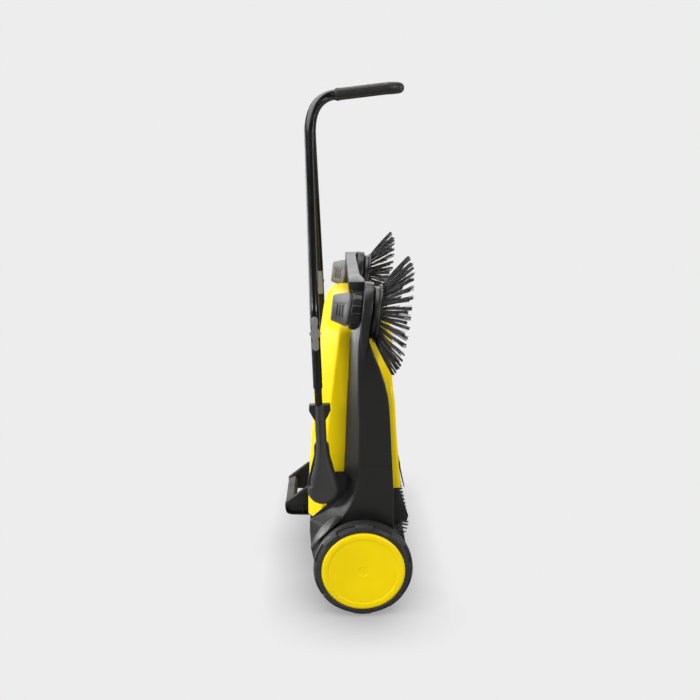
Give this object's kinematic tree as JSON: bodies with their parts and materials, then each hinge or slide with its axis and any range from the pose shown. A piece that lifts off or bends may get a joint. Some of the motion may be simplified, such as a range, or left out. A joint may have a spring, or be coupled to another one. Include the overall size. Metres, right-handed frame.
{
  "type": "walk-behind sweeper",
  "caption": "Push sweeper with a dirt hopper, a geared main brush roller, two tilted side brushes and a folding U-shaped handle, parked upright on its wheels.",
  "frame": {"origin": "On the floor, midway between the two wheels and straight under their axle, on the underside of the parking foot. The machine stands upright on its wheels and the foot, its parking pose.", "axes": "+X the side that faces the ground in use, +Y the machine's left, +Z its front, which points up when it is parked. In use the ground is the plane X = 0.1235 m."},
  "size_m": [0.3335, 0.87, 1.3035],
  "materials": {
    "yellow_shell": "satin moulded plastic",
    "black_shell": "fine-grained moulded plastic",
    "grey_knob": "fine-grained moulded plastic",
    "tube_paint": "gloss powder coat",
    "grip_foam": "fine foam",
    "soft_rubber": "matt rubber",
    "tyre_rubber": "matt tyre rubber",
    "bristle": "nylon bristles",
    "steel": "zinc-plated"
  },
  "bodies": {
    "chassis": {"roller_housing": "black_shell", "parking_foot": "black_shell", "carry_handle": "black_shell", "front_bow": "black_shell", "dust_flap": "soft_rubber", "side_frame_left": "black_shell", "side_frame_right": "black_shell", "inner_plate_left": "black_shell", "inner_plate_right": "black_shell", "stub_axle_left": "steel", "stub_axle_right": "steel", "pivot_bolt_left": "steel", "pivot_bolt_right": "steel", "side_belt_left": "soft_rubber", "side_belt_right": "soft_rubber", "belt_guide_left": "grey_knob", "belt_guide_right": "grey_knob", "side_skirt_left": "soft_rubber", "side_skirt_right": "soft_rubber", "roller_bearing_left": "steel", "roller_bearing_right": "steel", "adjust_collar_left": "black_shell", "adjust_collar_right": "black_shell"},
    "hopper": {"hopper_cover": "yellow_shell", "hopper_tub": "yellow_shell", "hopper_lip": "soft_rubber"},
    "main_roller": {"roller_core": "black_shell", "roller_bristles": "bristle", "roller_pinion_left": "black_shell", "roller_pinion_right": "black_shell"},
    "handle_lower": {"pivot_bracket_left": "black_shell", "pivot_bracket_right": "black_shell", "lower_tube_left": "tube_paint", "lower_tube_right": "tube_paint"},
    "handle_upper": {"handle_loop": "tube_paint", "handle_grip": "grip_foam", "clamp_saddle_left": "grey_knob", "clamp_saddle_right": "grey_knob"},
    "wheel_left": {"tyre_left": "tyre_rubber", "wheel_hub_left": "black_shell", "hub_cap_left": "yellow_shell", "wheel_gear_left": "black_shell"},
    "wing_left": {"wing_knob_left": "grey_knob"},
    "knob_left": {"height_knob_left": "grey_knob"},
    "carrier_left": {"brush_carrier_left": "grey_knob"},
    "side_brush_left": {"brush_disc_left": "black_shell", "brush_bristles_left": "bristle", "brush_screw_left": "steel"},
    "wheel_right": {"tyre_right": "tyre_rubber", "wheel_hub_right": "black_shell", "hub_cap_right": "yellow_shell", "wheel_gear_right": "black_shell"},
    "wing_right": {"wing_knob_right": "grey_knob"},
    "knob_right": {"height_knob_right": "grey_knob"},
    "carrier_right": {"brush_carrier_right": "grey_knob"},
    "side_brush_right": {"brush_disc_right": "black_shell", "brush_bristles_right": "bristle", "brush_screw_right": "steel"}
  },
  "joints": [
    {"name": "handle_fold", "type": "hinge", "parent": "chassis", "child": "handle_lower", "pos_m": [-0.099, 0, 0.328], "axis": [0, -1, 0], "range_deg": [0, 128]},
    {"name": "handle_extend", "type": "slide", "parent": "handle_lower", "child": "handle_upper", "axis": [-0.0346, 0, 0.9994], "range_m": [0, 0.07]},
    {"name": "hopper_lift", "type": "slide", "parent": "chassis", "child": "hopper", "axis": [-1, 0, 0], "range_m": [0, 0.3]},
    {"name": "roller_spin", "type": "hinge", "parent": "chassis", "child": "main_roller", "pos_m": [0.0477, 0, 0.1945], "axis": [0, 1, 0], "continuous": true},
    {"name": "wheel_left_spin", "type": "hinge", "parent": "chassis", "child": "wheel_left", "pos_m": [0, 0.375, 0.1235], "axis": [0, 1, 0], "continuous": true},
    {"name": "wing_left_turn", "type": "hinge", "parent": "handle_upper", "child": "wing_left", "pos_m": [-0.11265, 0.38, 0.72276], "axis": [0, 1, 0], "range_deg": [0, 360]},
    {"name": "knob_left_turn", "type": "hinge", "parent": "chassis", "child": "knob_left", "pos_m": [0.005, 0.29, 0.756], "axis": [0.9914, 0, -0.1305], "range_deg": [0, 270.5]},
    {"name": "carrier_left_slide", "type": "slide", "parent": "chassis", "child": "carrier_left", "axis": [0.9914, 0, -0.1305], "range_m": [0, 0.006]},
    {"name": "side_brush_left_spin", "type": "hinge", "parent": "carrier_left", "child": "side_brush_left", "pos_m": [0.005, 0.29, 0.756], "axis": [0.9914, 0, -0.1305], "continuous": true},
    {"name": "wheel_right_spin", "type": "hinge", "parent": "chassis", "child": "wheel_right", "pos_m": [0, -0.375, 0.1235], "axis": [0, 1, 0], "continuous": true},
    {"name": "wing_right_turn", "type": "hinge", "parent": "handle_upper", "child": "wing_right", "pos_m": [-0.11265, -0.38, 0.72276], "axis": [0, 1, 0], "range_deg": [0, 360]},
    {"name": "knob_right_turn", "type": "hinge", "parent": "chassis", "child": "knob_right", "pos_m": [0.005, -0.29, 0.756], "axis": [0.9914, 0, -0.1305], "range_deg": [0, 270.5]},
    {"name": "carrier_right_slide", "type": "slide", "parent": "chassis", "child": "carrier_right", "axis": [0.9914, 0, -0.1305], "range_m": [0, 0.006]},
    {"name": "side_brush_right_spin", "type": "hinge", "parent": "carrier_right", "child": "side_brush_right", "pos_m": [0.005, -0.29, 0.756], "axis": [0.9914, 0, -0.1305], "continuous": true}
  ],
  "couplings": [
    {"joint": "roller_spin", "follows": "wheel_left_spin", "ratio": -2.4615},
    {"joint": "wheel_right_spin", "follows": "wheel_left_spin", "ratio": 1},
    {"joint": "knob_left_turn", "follows": "carrier_left_slide", "rad_per_m": 785.4},
    {"joint": "side_brush_left_spin", "follows": "wheel_left_spin", "ratio": 1.1},
    {"joint": "knob_right_turn", "follows": "carrier_right_slide", "rad_per_m": 785.4},
    {"joint": "side_brush_right_spin", "follows": "wheel_left_spin", "ratio": -1.1}
  ]
}
